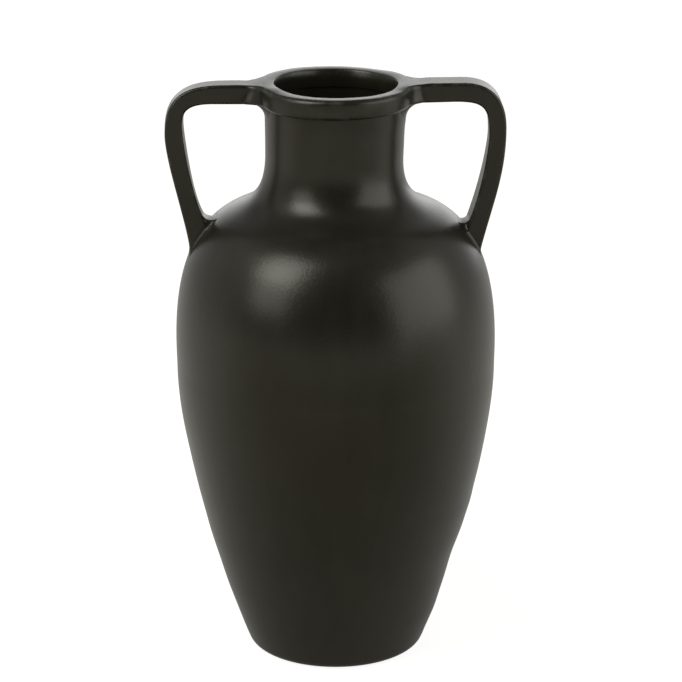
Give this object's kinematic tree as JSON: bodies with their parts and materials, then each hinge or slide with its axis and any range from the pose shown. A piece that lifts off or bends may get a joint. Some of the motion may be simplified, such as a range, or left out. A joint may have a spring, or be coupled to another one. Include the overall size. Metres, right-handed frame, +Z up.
{
  "type": "two-handled vase",
  "caption": "Tall fired-clay vase with a tapering belly, a short neck, a flat-topped rim band and strap handles from rim to shoulder.",
  "frame": {"origin": "centre of the flat underside, at the ground", "axes": "+Z up along the vase's axis; the handles lie along X, the right handle towards +X; the pictured front faces -Y"},
  "size_m": [0.2868, 0.2724, 0.5014],
  "materials": {
    "satin_clay_coat": "satin, dark olive-charcoal coat over fired clay"
  },
  "bodies": {
    "root": {"floor_disc": "satin_clay_coat", "lower_wall": "satin_clay_coat", "shoulder_wall": "satin_clay_coat", "neck": "satin_clay_coat", "rim_band": "satin_clay_coat", "left_handle": "satin_clay_coat", "right_handle": "satin_clay_coat"}
  },
  "joints": []
}
